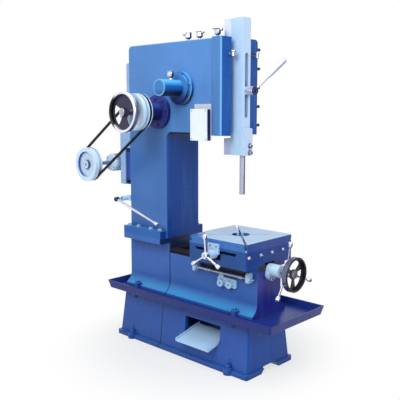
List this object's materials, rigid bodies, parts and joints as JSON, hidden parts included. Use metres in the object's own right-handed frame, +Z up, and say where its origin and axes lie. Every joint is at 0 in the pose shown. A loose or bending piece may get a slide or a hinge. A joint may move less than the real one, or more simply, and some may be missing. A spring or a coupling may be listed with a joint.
{
  "type": "slotting machine",
  "caption": "Vertical slotting machine: C-frame column and ram over a cross-slide table on a bed, with belt drive, chip tray and hollow stand.",
  "frame": {"origin": "on the floor, at the middle of the four foot bolts", "axes": "+X towards the front, where the table is, -Y towards the belt side, +Z up"},
  "size_m": [1.462, 0.6811, 1.876],
  "materials": {
    "blue_paint": "gloss",
    "dark_blue_paint": "gloss",
    "pale_paint": "gloss",
    "white_paint": "satin",
    "black_paint": "gloss",
    "bed_iron": "painted, ways bare",
    "machined_iron": "ground",
    "bright_steel": "brushed",
    "chrome": "polished",
    "belt_rubber": "matte"
  },
  "bodies": {
    "frame": {"stand_rear": "blue_paint", "stand_front": "blue_paint", "chip_chute": "pale_paint", "chip_tray": "blue_paint", "bed_rear": "blue_paint", "bed_front": "bed_iron", "column": "blue_paint", "ram_guide": "blue_paint", "gib_strip": "blue_paint", "crank_bearing": "blue_paint", "shaft_bearing": "dark_blue_paint", "drive_belt": "belt_rubber", "motor": "pale_paint", "motor_bracket": "pale_paint", "hinge_block": "dark_blue_paint", "rear_cover": "pale_paint", "switch_base": "black_paint", "switch_cover": "white_paint", "oil_cups": "bright_steel", "lever_bracket": "dark_blue_paint", "screw_bearing": "pale_paint", "feed_shaft": "bright_steel", "feed_brackets": "pale_paint", "trip_casting": "pale_paint"},
    "ram_body": {"ram": "pale_paint", "tool_head": "pale_paint", "tool_bar": "bright_steel", "stroke_clamp": "bright_steel"},
    "clamp_lever_body": {"clamp_lever": "bright_steel"},
    "drive_body": {"drive_shaft": "bright_steel", "main_pulley": "pale_paint", "handwheel_rim": "chrome", "handwheel_centre": "black_paint"},
    "motor_pulley_body": {"motor_pulley": "pale_paint"},
    "shift_lever_body": {"shift_lever": "bright_steel"},
    "saddle_body": {"saddle": "blue_paint"},
    "cross_slide_body": {"cross_slide": "blue_paint", "cross_gib": "dark_blue_paint", "table": "machined_iron", "cross_bracket": "pale_paint"},
    "cross_handle_body": {"cross_screw": "bright_steel", "cross_star": "chrome"},
    "front_wheel_body": {"long_screw": "bright_steel", "front_star": "chrome", "front_wheel": "chrome"}
  },
  "joints": [
    {"name": "saddle_slide", "type": "slide", "parent": "frame", "child": "saddle_body", "axis": [1, 0, 0], "range_m": [-0.2, 0.05]},
    {"name": "cross_slide_slide", "type": "slide", "parent": "saddle_body", "child": "cross_slide_body", "axis": [0, 1, 0], "range_m": [-0.12, 0.045]},
    {"name": "front_wheel_turn", "type": "hinge", "parent": "frame", "child": "front_wheel_body", "pos_m": [0.62, 0, 0.559], "axis": [1, 0, 0], "range_deg": [-14400, 3600]},
    {"name": "cross_handle_turn", "type": "hinge", "parent": "cross_slide_body", "child": "cross_handle_body", "pos_m": [0.291, -0.25, 0.644], "axis": [0, 1, 0], "range_deg": [-8640, 3240]},
    {"name": "ram_slide", "type": "slide", "parent": "frame", "child": "ram_body", "axis": [0, 0, 1], "range_m": [-0.15, 0.05]},
    {"name": "clamp_lever_turn", "type": "hinge", "parent": "ram_body", "child": "clamp_lever_body", "pos_m": [0.392, 0, 1.4994], "axis": [1, 0, 0], "range_deg": [-60, 30]},
    {"name": "drive_turn", "type": "hinge", "parent": "frame", "child": "drive_body", "pos_m": [-0.199, -0.3, 1.387], "axis": [0, 1, 0], "continuous": true},
    {"name": "motor_turn", "type": "hinge", "parent": "frame", "child": "motor_pulley_body", "pos_m": [-0.656, -0.3, 1.069], "axis": [0, 1, 0], "continuous": true},
    {"name": "shift_lever_turn", "type": "hinge", "parent": "frame", "child": "shift_lever_body", "pos_m": [-0.496, -0.215, 0.859], "axis": [0, 1, 0], "range_deg": [-20, 8]}
  ],
  "couplings": [
    {"joint": "front_wheel_turn", "follows": "saddle_slide", "rad_per_m": 1256.6},
    {"joint": "cross_handle_turn", "follows": "cross_slide_slide", "rad_per_m": 1256.6},
    {"joint": "motor_turn", "follows": "drive_turn", "ratio": 1}
  ]
}
